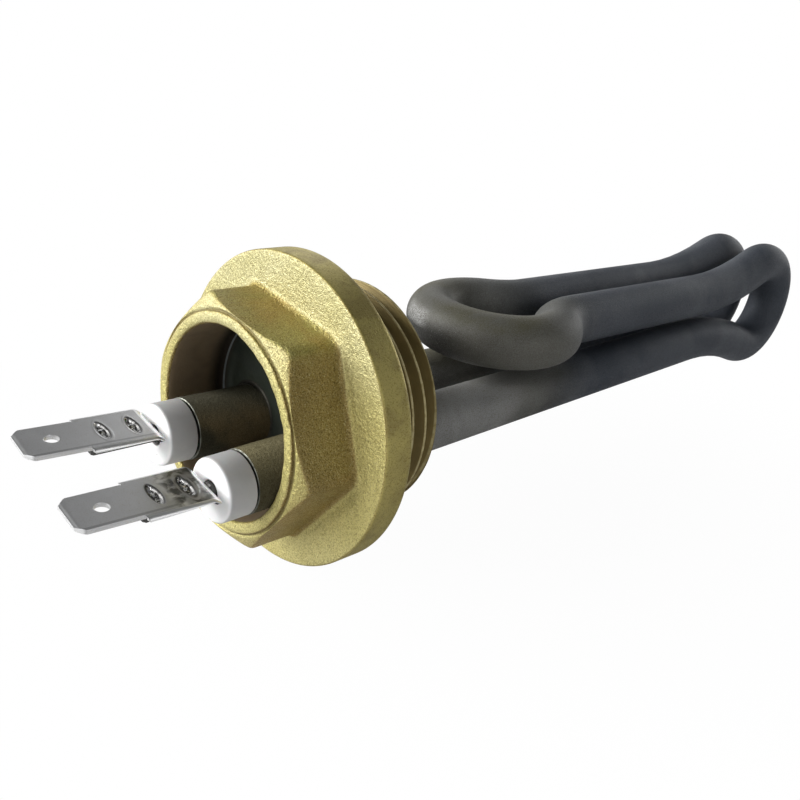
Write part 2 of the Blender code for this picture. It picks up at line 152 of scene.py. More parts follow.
TAB_DENTS = (10.2 * MM, 14.15 * MM)
DENT_HALF_LENGTH = 2.2 * MM
DENT_HALF_WIDTH = 0.8 * MM
DENT_DEPTH = 0.45 * MM
TAB_TO_BEAD = {"front": 1.0 * MM, "rear": 0.7 * MM}
TAB_ROLL = {"front": math.radians(5.9), "rear": math.radians(5.6)}
TAB_YAW = {"front": math.radians(-4.3), "rear": math.radians(-3.4)}


def smoothstep(low, high, value):
    share = min(1.0, max(0.0, (value - low) / (high - low)))
    return share * share * (3 - 2 * share)


def spread(a, b, count):
    """Points from a to b, both in the list."""
    return [tuple(p + (q - p) * k / count for p, q in zip(a, b)) for k in range(count + 1)]


def arc(centre, radius, start, end, count):
    """Points on an arc, its angles in degrees from the first axis towards the second."""
    turn = math.radians(end - start) / count
    first = math.radians(start)
    return [
        (centre[0] + radius * math.cos(first + turn * k), centre[1] + radius * math.sin(first + turn * k))
        for k in range(count + 1)
    ]


def path(start, *legs):
    """Straight runs, each leg given as its end and its number of steps."""
    points = [start]
    for end, count in legs:
        points += spread(start, end, count)[1:]
        start = end
    return points


def joined(*runs):
    """One profile from several runs, without the points that meet twice."""
    points = []
    for run in runs:
        for point in run:
            if not points or math.dist(point, points[-1]) > NEARLY:
                points.append(point)
    return points


def lathe(profile, steps):
    """A profile of (x, radius) spun about X."""
    work = bmesh.new()
    line = [work.verts.new((x, 0.0, radius)) for x, radius in profile]
    edges = [work.edges.new(pair) for pair in zip(line, line[1:])]
    bmesh.ops.spin(
        work, geom=line + edges, cent=(0, 0, 0), axis=(1, 0, 0), dvec=(0, 0, 0),
        angle=FULL_TURN, steps=steps, use_merge=True, use_duplicate=False,
    )
    bmesh.ops.remove_doubles(work, verts=work.verts, dist=0.0005 * MM)
    bmesh.ops.recalc_face_normals(work, faces=work.faces)
    return work


def finished(name, work, *finishes, sharp=35.0):
    """The piece's object, at the origin, with its place in its mesh."""
    mesh = bpy.data.meshes.new(name)
    work.to_mesh(mesh)
    work.free()
    for finish in finishes:
        mesh.materials.append(finish)
    mesh.shade_smooth()
    mesh.set_sharp_from_angle(angle=math.radians(sharp))
    piece = bpy.data.objects.new(name, mesh)
    bpy.context.scene.collection.objects.link(piece)
    return piece


def placed(work, matrix):
    bmesh.ops.transform(work, matrix=matrix, verts=work.verts)


def installed(piece, slot, *nodes):
    """Puts a piece on the only body, hiding the nodes it takes the place of. Its slot is not used."""
    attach(piece, "root")
    if nodes:
        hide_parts(*nodes)
    return piece


# Material building
def feed(tree, socket, value):
    """Links a socket to another node's output, or gives it a plain value, a colour with its alpha."""
    if isinstance(value, bpy.types.NodeSocket):
        tree.links.new(value, socket)
    elif socket.type == "RGBA":
        socket.default_value = (*value, 1.0)
    else:
        socket.default_value = value


def new_node(tree, kind, inputs=None, **settings):
    """A node with its settings, and its inputs by name or number."""
    made = tree.nodes.new(kind)
    for key, value in settings.items():
        setattr(made, key, value)
    for key, value in (inputs or {}).items():
        feed(tree, made.inputs[key], value)
    return made


class Finish:
    """A material on the Principled shader, with short calls to place and join its nodes."""

    def __init__(self, name, **values):
        self.material = bpy.data.materials.new(name)
        self.material.use_nodes = True
        self.tree = self.material.node_tree
        self.shader = self.tree.nodes["Principled BSDF"]
        for socket, value in values.items():
            self.given(socket, value)
        self.place = self.node("ShaderNodeTexCoord").outputs["Object"]

    def node(self, kind, inputs=None, **settings):
        return new_node(self.tree, kind, inputs, **settings)

    def given(self, socket, value):
        feed(self.tree, self.shader.inputs[socket], value)

    def effect(self, group, output, **inputs):
        """A shared group with its own values, placed on the object."""
        inputs["Vector"] = self.place
        return self.node("ShaderNodeGroup", inputs, node_tree=group).outputs[output]

    def grain(self, output, size):
        return self.effect(GRAIN, output, Size=size)

    def patches(self, size, low=0.4, high=0.6):
        return self.effect(MOTTLE, "Patches", Size=size, Low=low, High=high)

    def mixed(self, share, a, b, blend="MIX"):
        inputs = {0: share, 6: a, 7: b}
        return self.node("ShaderNodeMix", inputs, data_type="RGBA", blend_type=blend).outputs[2]

    def darker(self, colour, share):
        return self.mixed(1.0, colour, (share, share * 0.95, share * 0.85), "MULTIPLY")

    def maths(self, operation, a, b=0.0, clamp=False):
        return self.node("ShaderNodeMath", {0: a, 1: b}, operation=operation, use_clamp=clamp).outputs[0]

    def times(self, a, b):
        return self.maths("MULTIPLY", a, b)

    def ranged(self, value, low, high, to_low=0.0, to_high=1.0):
        inputs = {"Value": value, "From Min": low, "From Max": high, "To Min": to_low, "To Max": to_high}
        return self.node("ShaderNodeMapRange", inputs, interpolation_type="SMOOTHSTEP").outputs["Result"]

    def band(self, value, middle, half):
        """One at the middle, nothing beyond half the band's width on either side."""
        away = self.maths("ABSOLUTE", self.maths("SUBTRACT", value, middle))
        return self.ranged(away, half, 0.4 * half)

    def axis(self, letter):
        return self.node("ShaderNodeSeparateXYZ", {0: self.place}).outputs[letter]

    def facing(self, letter):
        """How far the surface is turned towards an axis, from -1 to 1."""
        normal = self.node("ShaderNodeNewGeometry").outputs["Normal"]
        return self.node("ShaderNodeSeparateXYZ", {0: normal}).outputs[letter]

    def length(self, vector):
        return self.node("ShaderNodeVectorMath", {0: vector}, operation="LENGTH").outputs["Value"]

    def from_axis(self):
        """Distance from the thread's axis."""
        inputs = {0: self.place, 1: (0.0, 1.0, 1.0)}
        return self.length(self.node("ShaderNodeVectorMath", inputs, operation="MULTIPLY").outputs[0])

    def pit(self, along, across, place):
        """Distance from the middle of a weld's pit, in its own half lengths."""
        lengthwise = self.maths("DIVIDE", self.maths("SUBTRACT", along, place), DENT_HALF_WIDTH)
        crosswise = self.maths("DIVIDE", across, DENT_HALF_LENGTH)
        both = self.node("ShaderNodeCombineXYZ", {"X": lengthwise, "Y": crosswise})
        return self.length(both.outputs[0])

    def coloured(self, value):
        self.given("Base Color", value)

    def roughened(self, value):
        self.given("Roughness", value)

    def bumped(self, height, distance):
        bump = self.node("ShaderNodeBump", {"Height": height, "Distance": distance, "Strength": 1.0})
        self.given("Normal", bump.outputs["Normal"])


def new_group(name, inputs, outputs):
    """A shared effect with its inputs' kinds and first values. All its outputs are plain values."""
    group = bpy.data.node_groups.new(name, "ShaderNodeTree")
    for label, kind, value in inputs:
        socket = group.interface.new_socket(label, in_out="INPUT", socket_type=kind)
        if value is not None:
            socket.default_value = value
    for label in outputs:
        group.interface.new_socket(label, in_out="OUTPUT", socket_type="NodeSocketFloat")
    nodes = group.nodes
    return group, nodes.new("NodeGroupInput").outputs, nodes.new("NodeGroupOutput").inputs


def grain_group():
    """Grain of a forged or pitted surface: its height, its fine grains and single bright grains."""
    group, given, out = new_group(
        "grain",
        [("Vector", "NodeSocketVector", None), ("Size", "NodeSocketFloat", 3000.0)],
        ["Height", "Fine", "Sparks"],
    )
    inputs = {"Vector": given["Vector"], "Scale": given["Size"], "Detail": 3.0, "Roughness": 0.65}
    coarse = new_node(group, "ShaderNodeTexNoise", inputs).outputs["Fac"]
    finer = new_node(group, "ShaderNodeMath", {0: given["Size"], 1: 2.7}, operation="MULTIPLY")
    inputs = {"Vector": given["Vector"], "Scale": finer.outputs[0], "Detail": 1.0}
    fine = new_node(group, "ShaderNodeTexNoise", inputs).outputs["Fac"]
    sparks = new_node(group, "ShaderNodeMapRange", {"Value": fine, "From Min": 0.62, "From Max": 0.74})
    height = new_node(group, "ShaderNodeMath", {0: fine, 1: 0.45, 2: coarse}, operation="MULTIPLY_ADD")
    feed(group, out["Height"], height.outputs[0])
    feed(group, out["Fine"], fine)
    feed(group, out["Sparks"], sparks.outputs[0])
    return group


def mottle_group():
    """Broad uneven patches, as of oxide, heat or handling, from 0 to 1."""
    group, given, out = new_group(
        "mottle",
        [
            ("Vector", "NodeSocketVector", None),
            ("Size", "NodeSocketFloat", 200.0),
            ("Low", "NodeSocketFloat", 0.4),
            ("High", "NodeSocketFloat", 0.6),
        ],
        ["Patches"],
    )
    inputs = {"Vector": given["Vector"], "Scale": given["Size"], "Detail": 4.0, "Roughness": 0.55}
    noise = new_node(group, "ShaderNodeTexNoise", {**inputs, "Distortion": 0.4})
    inputs = {"Value": noise.outputs["Fac"], "From Min": given["Low"], "From Max": given["High"]}
    spread_out = new_node(group, "ShaderNodeMapRange", inputs, interpolation_type="SMOOTHSTEP")
    feed(group, out["Patches"], spread_out.outputs[0])
    return group


GRAIN = grain_group()
MOTTLE = mottle_group()


def forged_brass():
    """Sand-textured stamped brass with painted light and shade: pale where it faces along the axis,
    browner on its flanks, paler at the flange's top and bottom, lighter on upward faces, darker in the
    lip's groove.
    """
    finish = Finish("forged_brass", Metallic=0.7, Roughness=0.5)
    height = finish.grain("Height", 2500.0)
    fine = finish.grain("Fine", 1900.0)
    sparks = finish.grain("Sparks", 2700.0)
    patches = finish.patches(110.0, 0.35, 0.7)
    # Painted light and shade: pale where the surface faces along the axis, brown on its flanks.
    turned = finish.ranged(finish.facing("X"), -1.02, -0.6)
    pale = finish.mixed(patches, (0.61, 0.545, 0.215), (0.54, 0.485, 0.185))
    # Painted highlight: a paler, whiter tone towards the top of the flange.
    painted_top_highlight = finish.mixed(patches, (0.61, 0.57, 0.32), (0.55, 0.51, 0.26))
    pale = finish.mixed(finish.ranged(finish.axis("Z"), 5.0 * MM, 17.0 * MM), pale, painted_top_highlight)
    # Painted light: paler low down on the flange, as light from the floor.
    pale = finish.mixed(finish.ranged(finish.axis("Z"), -8.0 * MM, -17.0 * MM), pale, (0.68, 0.62, 0.28))
    brown = finish.mixed(patches, (0.36, 0.262, 0.092), (0.30, 0.225, 0.08))
    # Painted light: upward faces of the flanks lighter and greener.
    painted_upward_light = finish.mixed(patches, (0.43, 0.385, 0.13), (0.43, 0.315, 0.10))
    brown = finish.mixed(finish.ranged(finish.facing("Z"), 0.2, 0.7), brown, painted_upward_light)
    base = finish.mixed(turned, pale, brown)
    dimmed = finish.mixed(finish.ranged(fine, 0.25, 0.6), finish.darker(base, 0.6), base)
    grained = finish.mixed(finish.times(sparks, 0.5), dimmed, (0.88, 0.83, 0.46))
    # Painted shade: darker in the groove round the lip.
    groove = finish.times(finish.band(finish.from_axis(), LIP_OUTSIDE + 0.15 * MM, 0.2 * MM), 0.75)
    at_mouth = finish.ranged(finish.axis("X"), SHOULDER + 0.55 * MM, SHOULDER + 0.35 * MM)
    finish.coloured(finish.mixed(finish.times(groove, at_mouth), grained, (0.14, 0.105, 0.035)))
    finish.roughened(finish.ranged(fine, 0.3, 0.7, 0.58, 0.42))
    lumps = finish.grain("Height", 800.0)
    finish.bumped(finish.maths("ADD", height, finish.times(lumps, 0.9)), 0.19 * MM)
    return finish.material


def rim_brass():
    """Turned rim of the flange, dull with small dark pits, and a painted highlight along its rear edge.
    """
    finish = Finish("rim_brass", Metallic=0.65, Roughness=0.45)
    fine = finish.grain("Fine", 1900.0)
    height = finish.grain("Height", 2600.0)
    sparks = finish.grain("Sparks", 2900.0)
    patches = finish.patches(220.0, 0.4, 0.66)
    base = finish.mixed(patches, (0.52, 0.44, 0.145), (0.37, 0.30, 0.10))
    # Painted highlight: a light band along the rim's rear edge.
    base = finish.mixed(finish.ranged(finish.axis("X"), -0.45 * MM, -0.3 * MM), base, (0.80, 0.73, 0.38))
    dimmed = finish.mixed(finish.ranged(fine, 0.3, 0.5), finish.darker(base, 0.72), base)
    finish.coloured(finish.mixed(finish.times(sparks, 0.3), dimmed, (0.7, 0.64, 0.34)))
    finish.roughened(finish.ranged(fine, 0.3, 0.7, 0.55, 0.42))
    finish.bumped(height, 0.05 * MM)
    return finish.material


def cut_brass():
    """Machined thread, smooth and brown, lighter along its crest and the edges of its end."""
    finish = Finish("cut_brass", Metallic=0.5, Roughness=0.55)
    patches = finish.patches(350.0, 0.35, 0.7)
    brown = finish.mixed(patches, (0.27, 0.205, 0.077), (0.225, 0.172, 0.065))
    # A lighter tone along the crests and the end's edges.
    lighter_crest_tone = finish.mixed(finish.patches(900.0), (0.60, 0.52, 0.27), (0.44, 0.36, 0.17))
    crest = finish.ranged(finish.from_axis(), THREAD_RADIUS - 0.13 * MM, THREAD_RADIUS - 0.03 * MM)
    within = finish.ranged(finish.from_axis(), THREAD_RADIUS + 0.1 * MM, THREAD_RADIUS + 0.2 * MM)
    crest = finish.maths("SUBTRACT", crest, within, clamp=True)
    edges = (THREAD_END - THREAD_END_CHAMFER, THREAD_END - 0.08 * MM)
    ends = finish.maths("ADD", *(finish.band(finish.axis("X"), edge, 0.13 * MM) for edge in edges))
    ends = finish.times(ends, finish.ranged(finish.from_axis(), 15.2 * MM, 15.5 * MM))
    crest = finish.maths("MAXIMUM", crest, ends)
    finish.coloured(finish.mixed(crest, brown, lighter_crest_tone))
    inputs = {"W": finish.axis("X"), "Scale": 9000.0, "Detail": 2.0}
    lines = finish.node("ShaderNodeTexNoise", inputs, noise_dimensions="1D").outputs["Fac"]
    finish.roughened(finish.ranged(lines, 0.3, 0.7, 0.52, 0.64))
    finish.bumped(lines, 0.004 * MM)
    return finish.material


def cup_brass():
    """Inside of the cup: dark brown oxide, greener on its floor, with painted shade on the wall near the
    floor and a painted highlight along the floor's corner.
    """
    finish = Finish("cup_brass", Metallic=0.5, Roughness=0.55)
    height = finish.grain("Height", 1800.0)
    patches = finish.patches(150.0, 0.35, 0.7)
    wall = finish.mixed(patches, (0.42, 0.32, 0.205), (0.31, 0.235, 0.155))
    # Painted shade: the wall darkens towards the floor.
    near_floor = finish.ranged(finish.axis("X"), WEB_DRY_FACE - 4.0 * MM, WEB_DRY_FACE - 1.6 * MM)
    wall = finish.mixed(near_floor, wall, (0.05, 0.04, 0.03))
    ground = finish.mixed(patches, (0.022, 0.028, 0.018), (0.015, 0.02, 0.014))
    deep = finish.ranged(finish.axis("X"), WEB_DRY_FACE - 0.9 * MM, WEB_DRY_FACE - 0.3 * MM)
    # Painted highlight: a light bluish-grey line along the floor's corner.
    corner = finish.band(finish.axis("X"), WEB_DRY_FACE - 0.85 * MM, 0.15 * MM)
    finish.coloured(finish.mixed(corner, finish.mixed(deep, wall, ground), (0.24, 0.27, 0.28)))
    finish.roughened(finish.ranged(patches, 0.0, 1.0, 0.45, 0.6))
    finish.bumped(height, 0.03 * MM)
    return finish.material


def bend_colour(finish, patches, fine):
    """Warm grey of the near bend, with painted shade low on its outer side and a speckled painted
    highlight on its nose.
    """
    along = finish.axis("X")
    up = finish.facing("Z")
    warm = finish.mixed(patches, (0.10, 0.098, 0.084), (0.145, 0.143, 0.125))
    olive = finish.mixed(patches, (0.105, 0.10, 0.06), (0.125, 0.124, 0.108))
    bend = finish.mixed(finish.ranged(up, 0.35, 0.8), warm, olive)
    # Painted shade: darker low on the bend's outer side.
    low_side = finish.times(finish.ranged(finish.facing("X"), -0.1, -0.6), finish.ranged(up, 0.65, -0.1))
    low_side = finish.times(low_side, finish.ranged(finish.axis("Y"), -10.0 * MM, -1.0 * MM))
    low_side = finish.times(low_side, finish.ranged(along, 40.0 * MM, 28.0 * MM))
    bend = finish.mixed(low_side, bend, (0.024, 0.023, 0.019))
    # Painted highlight: a speckled light grey spot on the bend's nose.
    nose = finish.times(finish.band(finish.axis("Y"), 5.5 * MM, 4.5 * MM), finish.band(up, 0.3, 0.4))
    nose = finish.times(nose, finish.ranged(along, 30.0 * MM, 28.0 * MM))
    nose = finish.times(nose, finish.ranged(fine, 0.35, 0.6))
    return finish.mixed(nose, bend, (0.34, 0.34, 0.33))


def cup_colour(finish, patches):
    """Oxide inside the cup: olive on the front end, black with brown blotches on the rear one."""
    dim = finish.mixed(patches, (0.020, 0.020, 0.014), (0.028, 0.026, 0.017))
    green = finish.mixed(patches, (0.088, 0.078, 0.043), (0.068, 0.060, 0.034))
    below_top = finish.ranged(finish.facing("Z"), 0.75, 0.2)
    blotches = finish.times(finish.patches(130.0, 0.42, 0.62), below_top)
    brown = finish.mixed(blotches, dim, (0.062, 0.048, 0.025))
    return finish.mixed(finish.ranged(finish.axis("Y"), -1.2 * MM, 1.2 * MM), green, brown)


def dark_sheath():
    """Oxidised alloy tube: matte charcoal, warmer at the near bend, greyer by the plug in front."""
    finish = Finish("dark_sheath", Metallic=0.2, Roughness=0.6)
    fine = finish.grain("Fine", 2800.0)
    patches = finish.patches(75.0, 0.38, 0.64)
    along = finish.axis("X")
    through_web = (along, -3.0 * MM, 1.0 * MM)
    cool = finish.mixed(patches, (0.051, 0.061, 0.080), (0.085, 0.096, 0.117))
    grey = finish.mixed(patches, (0.28, 0.283, 0.28), (0.37, 0.373, 0.37))
    beyond_bend = finish.ranged(along, 35.0 * MM, 60.0 * MM)
    outside = finish.mixed(beyond_bend, bend_colour(finish, patches, fine), cool)
    near_plug = finish.ranged(along, 45.0 * MM, 26.0 * MM)
    near_plug = finish.times(near_plug, finish.ranged(finish.axis("Z"), 2.5 * MM, -0.5 * MM))
    near_plug = finish.times(near_plug, finish.ranged(finish.axis("Y"), 2.0 * MM, -2.0 * MM, 0.3, 1.0))
    outside = finish.mixed(near_plug, outside, grey)
    body = finish.mixed(finish.ranged(*through_web), cup_colour(finish, patches), outside)
    # Light flecks all over as grain, stronger towards the near bend as painted highlight.
    flecks_and_highlight = finish.ranged(along, 75.0 * MM, 40.0 * MM, 0.2, 0.36)
    flecks_and_highlight = finish.times(flecks_and_highlight, finish.ranged(*through_web, 0.2, 1.0))
    flecks_and_highlight = finish.times(finish.grain("Sparks", 3000.0), flecks_and_highlight)
    flecked = finish.mixed(flecks_and_highlight, body, (0.34, 0.34, 0.32))
    finish.coloured(finish.mixed(finish.ranged(fine, 0.3, 0.58), finish.darker(flecked, 0.74), flecked))
    finish.roughened(finish.ranged(fine, 0.3, 0.7, 0.7, 0.52))
    finish.given("Metallic", finish.ranged(*through_web, 1.0, 0.2))
    finish.bumped(finish.grain("Height", 2800.0), 0.06 * MM)
    return finish.material


def cut_tube():
    """Sawn end of the sheath."""
    finish = Finish("cut_tube_end", Metallic=0.9, Roughness=0.35)
    patches = finish.patches(900.0, 0.35, 0.7)
    finish.coloured(finish.mixed(patches, (0.17, 0.175, 0.15), (0.08, 0.08, 0.065)))
    finish.roughened(finish.ranged(patches, 0.0, 1.0, 0.4, 0.55))
    return finish.material


def porcelain():
    """Unglazed white steatite with a faint grain and a few specks, white on its end face and painted grey
    as shade on its sides.
    """
    finish = Finish("white_steatite", Roughness=0.6)
    height = finish.grain("Height", 4200.0)
    fine = finish.grain("Fine", 1100.0)
    patches = finish.patches(260.0, 0.35, 0.7)
    # Painted shade: grey on the sides, white only where the bead faces the terminals.
    side = finish.mixed(patches, (0.52, 0.52, 0.52), (0.48, 0.48, 0.48))
    base = finish.mixed(finish.ranged(finish.facing("X"), -0.35, -0.85), side, (0.9, 0.9, 0.9))
    finish.coloured(finish.mixed(finish.ranged(fine, 0.19, 0.25), (0.42, 0.41, 0.39), base))
    finish.roughened(finish.ranged(fine, 0.3, 0.7, 0.66, 0.5))
    finish.bumped(height, 0.012 * MM)
    finish.given("Subsurface Weight", 0.08)
    finish.given("Subsurface Scale", 0.5 * MM)
    return finish.material


def stained(finish, along, colour):
    """Soot and heat marks of the front tab, from between its two pits to the bead."""
    burnt = finish.patches(620.0, 0.38, 0.6)
    soot = finish.mixed(burnt, (0.16, 0.158, 0.155), (0.50, 0.50, 0.50))
    cleaned = finish.times(finish.band(along, 12.0 * MM, 1.1 * MM), burnt)
    colour = finish.mixed(finish.ranged(along, 11.2 * MM, 12.4 * MM), colour, soot)
    return finish.mixed(cleaned, colour, (0.85, 0.85, 0.85))


def plated(key):
    """Dull nickel plate. The strip's own lengths place its pits, edges, painted highlights and painted
    shade and, in front, its stains.
    """
    finish = Finish("nickel_plate_" + key, Metallic=0.9, Roughness=0.34)
    strip = tab_matrix(key)
    inputs = {"Vector": finish.place, "Location": strip.to_translation(), "Rotation": strip.to_euler()}
    local = finish.node("ShaderNodeMapping", inputs, vector_type="TEXTURE").outputs[0]
    along, across, up = finish.node("ShaderNodeSeparateXYZ", {0: local}).outputs
    fine = finish.grain("Fine", 3500.0)
    patches = finish.patches(420.0, 0.38, 0.62)
    plain = finish.mixed(patches, (0.65, 0.65, 0.655), (0.625, 0.625, 0.63))
    colour = finish.mixed(finish.ranged(fine, 0.28, 0.4), finish.darker(plain, 0.8), plain)
    # Painted shade: a dark line along the strip's front long edge.
    painted_edge_shade = finish.times(finish.band(across, -2.9 * MM, 0.25 * MM), 0.45)
    colour = finish.mixed(painted_edge_shade, colour, (0.2, 0.2, 0.2))
    if key == "front":
        colour = stained(finish, along, colour)
    crumpled = finish.grain("Fine", 900.0)
    strayed = finish.maths("ADD", along, finish.times(finish.ranged(crumpled, 0.3, 0.7), 0.5 * MM))
    for number, place in enumerate(TAB_DENTS):
        pit = finish.pit(along, across, place)
        colour = finish.mixed(finish.ranged(pit, 1.05, 0.88), colour, (0.12, 0.118, 0.115))
        # Painted highlight: a white glint along each pit's ridge.
        ridge = finish.band(strayed, place + 0.25 * MM, 0.3 * MM)
        ridge = finish.times(finish.ranged(pit, 0.95, 0.8), ridge)
        ridge = finish.times(ridge, finish.ranged(crumpled, 0.36, 0.5))
        colour = finish.mixed(ridge, colour, (1.0, 1.0, 1.0))
        if key == "front" and number == 1:
            colour = finish.mixed(finish.band(pit, 1.25, 0.16), colour, (0.5, 0.5, 0.5))
    # Painted highlight: light along the turned-down rear margin.
    rear_edge = finish.ranged(along, TAB_LENGTH - 0.6 * MM, TAB_LENGTH - 0.4 * MM)
    colour = finish.mixed(rear_edge, colour, (0.8, 0.8, 0.8))
    # Painted highlight: near white on faces towards the tip, along the blade but not at its hole.
    towards_tip = finish.ranged(finish.facing("X"), -0.55, -0.8)
    towards_tip = finish.times(towards_tip, finish.ranged(along, 8.2 * MM, 8.0 * MM))
    off_hole = finish.maths("SUBTRACT", 1.0, finish.band(along, TAB_HOLE_PLACE, 1.3 * MM))
    colour = finish.mixed(finish.times(towards_tip, off_hole), colour, (0.95, 0.95, 0.95))
    # Painted highlight: near white on the base's turned-down edges.
    turned_down = finish.ranged(finish.maths("ABSOLUTE", across), 3.4 * MM, 3.5 * MM)
    turned_down = finish.times(turned_down, finish.ranged(along, TAB_BLADE, TAB_BLADE + 0.2 * MM))
    colour = finish.mixed(turned_down, colour, (0.95, 0.95, 0.95))
    # Painted shade: near black low on the strip, under its top.
    colour = finish.mixed(finish.ranged(up, -0.4 * MM, -0.5 * MM), colour, (0.05, 0.05, 0.05))
    finish.coloured(colour)
    finish.roughened(finish.ranged(patches, 0.0, 1.0, 0.35, 0.38))
    finish.bumped(finish.grain("Height", 5200.0), 0.004 * MM)
    return finish.material


def plain_metal(name, light, dark, roughness, grain):
    """Drawn wire, pin steel and brazing alloys share this build."""
    finish = Finish(name, Metallic=0.9, Roughness=roughness)
    height = finish.grain("Height", grain)
    patches = finish.patches(500.0, 0.35, 0.7)
    finish.coloured(finish.mixed(patches, light, dark))
    finish.roughened(finish.ranged(patches, 0.0, 1.0, roughness - 0.06, roughness + 0.08))
    finish.bumped(height, 0.01 * MM)
    return finish.material


def powder():
    """Pressed magnesia."""
    finish = Finish("pressed_magnesia", Roughness=0.9)
    height = finish.grain("Height", 2500.0)
    patches = finish.patches(300.0, 0.3, 0.7)
    finish.coloured(finish.mixed(patches, (0.78, 0.76, 0.70), (0.68, 0.66, 0.60)))
    finish.roughened(finish.ranged(patches, 0.0, 1.0, 0.85, 0.95))
    finish.bumped(height, 0.05 * MM)
    return finish.material


def resin():
    """Red-brown sealing resin."""
    finish = Finish("sealing_resin", Roughness=0.45)
    height = finish.grain("Height", 900.0)
    patches = finish.patches(400.0, 0.3, 0.7)
    finish.coloured(finish.mixed(patches, (0.22, 0.05, 0.025), (0.15, 0.035, 0.02)))
    finish.roughened(finish.ranged(patches, 0.0, 1.0, 0.38, 0.55))
    finish.bumped(height, 0.03 * MM)
    return finish.material


# Plug
def hex_radius(angle):
    """Distance from the axis to the rounded hexagon in that direction."""
    turn = (angle - HEX_TURN) % (math.pi / 3)
    off = abs(turn - math.pi / 3) if turn > math.pi / 6 else turn
    reach = (HEX_FLAT - HEX_CORNER_RADIUS) / math.cos(math.pi / 6)
    edge = math.atan2(HEX_CORNER_RADIUS / 2, reach + HEX_CORNER_RADIUS * math.cos(math.pi / 6))
    if off < edge:
        return reach * math.cos(off) + math.sqrt(HEX_CORNER_RADIUS**2 - (reach * math.sin(off)) ** 2)
    return HEX_FLAT / math.cos(math.pi / 6 - off)


NOMINAL_HEX = 17.2 * MM
SHOULDER = MOUTH + LIP_HEIGHT
FACE = -FLANGE_THICKNESS
FILLET_START = FACE - HEX_FILLET
RIM_START = FLANGE_RADIUS - RIM_EDGE


def plug_profile():
    """Outline of half the plug as (x, radius), from the cup's floor round the outside to the recess."""
    lip_middle = (CUP_RADIUS + LIP_OUTSIDE) / 2
    lip_half = (LIP_OUTSIDE - CUP_RADIUS) / 2
    lip = [
        (SHOULDER - LIP_HEIGHT * math.sin(t) ** 0.7, lip_middle - lip_half * math.cos(t))
        for t in [math.pi * k / 12 for k in range(1, 12)]
    ]
    chamfer_nominal = SHOULDER + (NOMINAL_HEX - GROOVE_OUTSIDE) * CHAMFER_SLOPE
    groove_middle = (LIP_OUTSIDE + GROOVE_OUTSIDE) / 2
    cup_corner = (WEB_DRY_FACE - CUP_FLOOR_FILLET, CUP_RADIUS - CUP_FLOOR_FILLET)
    recess_corner = (WEB_WET_FACE + RECESS_FILLET, RECESS_RADIUS - RECESS_FILLET)
    fillet = arc((FILLET_START, 0.0), HEX_FILLET, 90, 0, 9)
    rim_edge = arc((0.0, 0.0), RIM_EDGE, 0, 90, 4)
    return joined(
        path((WEB_DRY_FACE, 0.0), ((WEB_DRY_FACE, cup_corner[1]), 8)),
        arc(cup_corner, CUP_FLOOR_FILLET, 0, 90, 8),
        path((cup_corner[0], CUP_RADIUS), ((SHOULDER + 0.1 * MM, CUP_RADIUS), 10)),
        lip,
        path(
            (SHOULDER + 0.02 * MM, LIP_OUTSIDE),
            ((SHOULDER + GROOVE_DEPTH, groove_middle - 0.05 * MM), 2),
            ((SHOULDER + GROOVE_DEPTH, groove_middle + 0.05 * MM), 1),
            ((SHOULDER, GROOVE_OUTSIDE), 2),
            ((chamfer_nominal, NOMINAL_HEX), 9),
            ((FILLET_START, NOMINAL_HEX), 26),
        ),
        [(x, NOMINAL_HEX + HEX_FILLET - out) for x, out in fillet],
        path((FACE, NOMINAL_HEX + HEX_FILLET), ((FACE, RIM_START), 7)),
        [(FACE + RIM_EDGE - x, RIM_START + out) for x, out in rim_edge],
        path(
            (FACE + RIM_EDGE, FLANGE_RADIUS),
            ((-RIM_EDGE, FLANGE_RADIUS), 8),
            ((0.0, RIM_START), 2),
            ((0.0, RELIEF_RADIUS + 0.2 * MM), 8),
            ((0.2 * MM, RELIEF_RADIUS), 2),
            ((RELIEF_LENGTH, RELIEF_RADIUS), 4),
            ((RELIEF_LENGTH + RELIEF_CHAMFER, THREAD_RADIUS), 4),
            ((THREAD_END - THREAD_END_CHAMFER, THREAD_RADIUS), THREAD_POINTS),
            ((THREAD_END, THREAD_RADIUS - THREAD_END_CHAMFER), 5),
            ((THREAD_END, RECESS_RADIUS + RECESS_EDGE), 5),
            ((THREAD_END - RECESS_EDGE, RECESS_RADIUS), 2),
            ((recess_corner[0], RECESS_RADIUS), 8),
        ),
        arc(recess_corner, RECESS_FILLET, 90, 180, 6),
        path((WEB_WET_FACE, recess_corner[1]), ((WEB_WET_FACE, 0.0), 8)),
    )


def hexagon_place(x, radius, angle):
    """Moves a point of the spun outline onto the hexagon, its chamfer and its fillet."""
    across = hex_radius(angle)
    if x > FACE + NEARLY or radius < GROOVE_OUTSIDE + NEARLY:
        return x, radius
    edge_nominal = SHOULDER + (NOMINAL_HEX - GROOVE_OUTSIDE) * CHAMFER_SLOPE
    edge = SHOULDER + (across - GROOVE_OUTSIDE) * CHAMFER_SLOPE
    if radius < NOMINAL_HEX - NEARLY:
        share = (radius - GROOVE_OUTSIDE) / (NOMINAL_HEX - GROOVE_OUTSIDE)
        out = GROOVE_OUTSIDE + share * (across - GROOVE_OUTSIDE)
        return SHOULDER + (out - GROOVE_OUTSIDE) * CHAMFER_SLOPE, out
    if x < FILLET_START + NEARLY:
        share = (x - edge_nominal) / (FILLET_START - edge_nominal)
        return edge + share * (FILLET_START - edge), across
    beyond = radius - NOMINAL_HEX
    if beyond <= HEX_FILLET:
        return x, across + beyond
    share = (beyond - HEX_FILLET) / (RIM_START - NOMINAL_HEX - HEX_FILLET)
    return x, across + HEX_FILLET + share * (RIM_START - across - HEX_FILLET)


